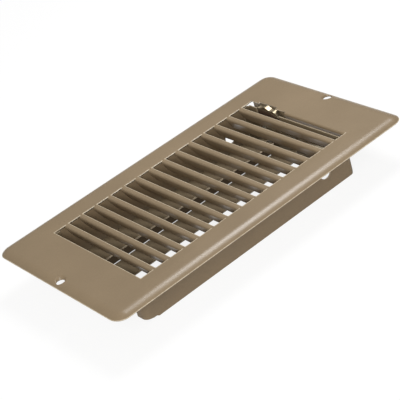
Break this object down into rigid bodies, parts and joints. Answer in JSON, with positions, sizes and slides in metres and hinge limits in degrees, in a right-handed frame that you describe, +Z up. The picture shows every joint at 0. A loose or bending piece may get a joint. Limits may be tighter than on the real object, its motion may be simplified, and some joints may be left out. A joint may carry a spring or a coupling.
{
  "type": "floor register",
  "caption": "Steel floor register: slotted stamped face with screw holes over a shallow duct box, with a louvered damper worked by a thumb lever.",
  "frame": {"origin": "on the ground under the centre of the face, where the duct box's feet stand", "axes": "+X along the length, towards the end with the thumb lever; +Y across the width; +Z up, out of the face"},
  "size_m": [0.254, 0.1396, 0.0315],
  "materials": {
    "tan_paint": "satin tan baked enamel",
    "leaf_paint": "satin tan baked enamel",
    "zinc_steel": "zinc plated",
    "rivet_steel": "zinc plated",
    "spring_steel": "plain spring steel"
  },
  "bodies": {
    "housing": {"face_plate": "tan_paint", "near_side_wall": "tan_paint", "far_side_wall": "tan_paint", "near_end_plate": "tan_paint", "far_end_plate": "tan_paint", "lever_guard": "tan_paint", "lever_rivet": "rivet_steel", "lever_friction_washer": "spring_steel"},
    "lever": {"thumb_lever": "zinc_steel"},
    "far_leaf": {"far_damper_leaf": "leaf_paint", "far_leaf_pivots": "rivet_steel"},
    "middle_leaf": {"middle_damper_leaf": "leaf_paint", "middle_leaf_pivots": "rivet_steel"},
    "near_leaf": {"near_damper_leaf": "leaf_paint", "near_leaf_pivots": "rivet_steel"},
    "link": {"link_bar": "zinc_steel", "link_rivets": "rivet_steel", "lever_drive_pin": "rivet_steel"}
  },
  "joints": [
    {"name": "lever_turn", "type": "hinge", "parent": "housing", "child": "lever", "pos_m": [0.0896, 0.032, 0.0055], "axis": [1, 0, 0], "range_deg": [-12.69, 4.69]},
    {"name": "far_leaf_turn", "type": "hinge", "parent": "housing", "child": "far_leaf", "pos_m": [0, 0.032, 0.012], "axis": [1, 0, 0], "range_deg": [-29.2, 10.8]},
    {"name": "middle_leaf_turn", "type": "hinge", "parent": "housing", "child": "middle_leaf", "pos_m": [0, 0, 0.012], "axis": [1, 0, 0], "range_deg": [-29.2, 10.8]},
    {"name": "near_leaf_turn", "type": "hinge", "parent": "housing", "child": "near_leaf", "pos_m": [0, -0.032, 0.012], "axis": [1, 0, 0], "range_deg": [-29.2, 10.8]},
    {"name": "link_swing", "type": "hinge", "parent": "middle_leaf", "child": "link", "pos_m": [0.0845, -0.0008, 0.01694], "axis": [1, 0, 0], "range_deg": [-10.8, 29.2]}
  ],
  "couplings": [
    {"joint": "far_leaf_turn", "follows": "lever_turn", "ratio": 2.299},
    {"joint": "middle_leaf_turn", "follows": "lever_turn", "ratio": 2.299},
    {"joint": "near_leaf_turn", "follows": "lever_turn", "ratio": 2.299},
    {"joint": "link_swing", "follows": "lever_turn", "ratio": -2.299}
  ]
}
